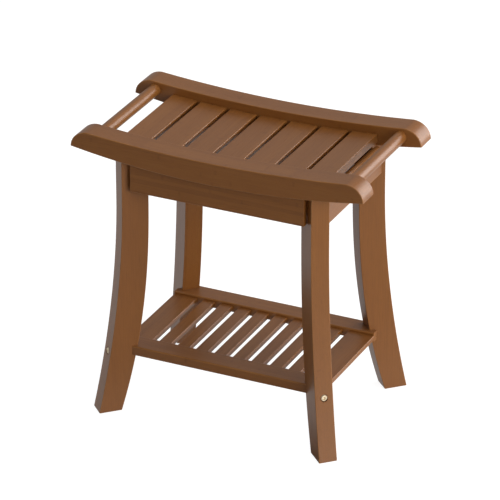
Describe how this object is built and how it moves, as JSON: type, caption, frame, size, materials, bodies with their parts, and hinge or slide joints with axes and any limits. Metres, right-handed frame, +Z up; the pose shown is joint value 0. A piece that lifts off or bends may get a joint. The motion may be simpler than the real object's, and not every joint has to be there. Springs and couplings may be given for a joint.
{
  "type": "shower bench",
  "caption": "Slatted wooden shower bench with a dipped seat, curved side rails, rod handles, splayed legs and a slatted lower shelf.",
  "frame": {"origin": "on the floor, under the middle of the seat", "axes": "+X along the seat to the right end seen from the front, +Y from the front to the rear, +Z up"},
  "size_m": [0.5, 0.3184, 0.4775],
  "materials": {
    "rail_wood": "satin lacquer on straight-grained brown stained bamboo",
    "rod_wood": "satin lacquer on a turned bamboo rod",
    "slat_wood": "satin lacquer on brown stained bamboo",
    "leg_wood": "satin lacquer on brown stained bamboo",
    "shelf_wood": "satin lacquer on brown stained bamboo",
    "inner_wood": "brown stained bamboo",
    "dowel_wood": "plain hardwood dowel",
    "bolt_brass": "pale brass plating, satin",
    "insert_brass": "turned",
    "washer_steel": "zinc plated",
    "screw_steel": "zinc plated"
  },
  "bodies": {
    "root": {"apron_screws": "screw_steel", "corner_block_front_left": "inner_wood", "corner_block_front_right": "inner_wood", "corner_block_rear_left": "inner_wood", "corner_block_rear_right": "inner_wood", "corner_bolts": "bolt_brass", "corner_washers": "washer_steel", "front_apron": "rail_wood", "front_rail": "rail_wood", "handle_rod_left": "rod_wood", "handle_rod_right": "rod_wood", "left_apron": "rail_wood", "leg_dowels": "dowel_wood", "leg_front_left": "leg_wood", "leg_front_right": "leg_wood", "leg_inserts": "insert_brass", "leg_rear_left": "leg_wood", "leg_rear_right": "leg_wood", "rail_screws": "screw_steel", "rear_apron": "rail_wood", "rear_rail": "rail_wood", "right_apron": "rail_wood", "seat_cleat_front": "inner_wood", "seat_cleat_rear": "inner_wood", "seat_cleat_screws": "screw_steel", "seat_slat_1": "slat_wood", "seat_slat_2": "slat_wood", "seat_slat_3": "slat_wood", "seat_slat_4": "slat_wood", "seat_slat_5": "slat_wood", "seat_slat_6": "slat_wood", "seat_slat_7": "slat_wood", "seat_slat_screws": "screw_steel", "shelf_bolts": "bolt_brass", "shelf_front_rail": "shelf_wood", "shelf_inserts": "insert_brass", "shelf_rear_rail": "shelf_wood", "shelf_slat_1": "shelf_wood", "shelf_slat_10": "shelf_wood", "shelf_slat_2": "shelf_wood", "shelf_slat_3": "shelf_wood", "shelf_slat_4": "shelf_wood", "shelf_slat_5": "shelf_wood", "shelf_slat_6": "shelf_wood", "shelf_slat_7": "shelf_wood", "shelf_slat_8": "shelf_wood", "shelf_slat_9": "shelf_wood"}
  },
  "joints": []
}
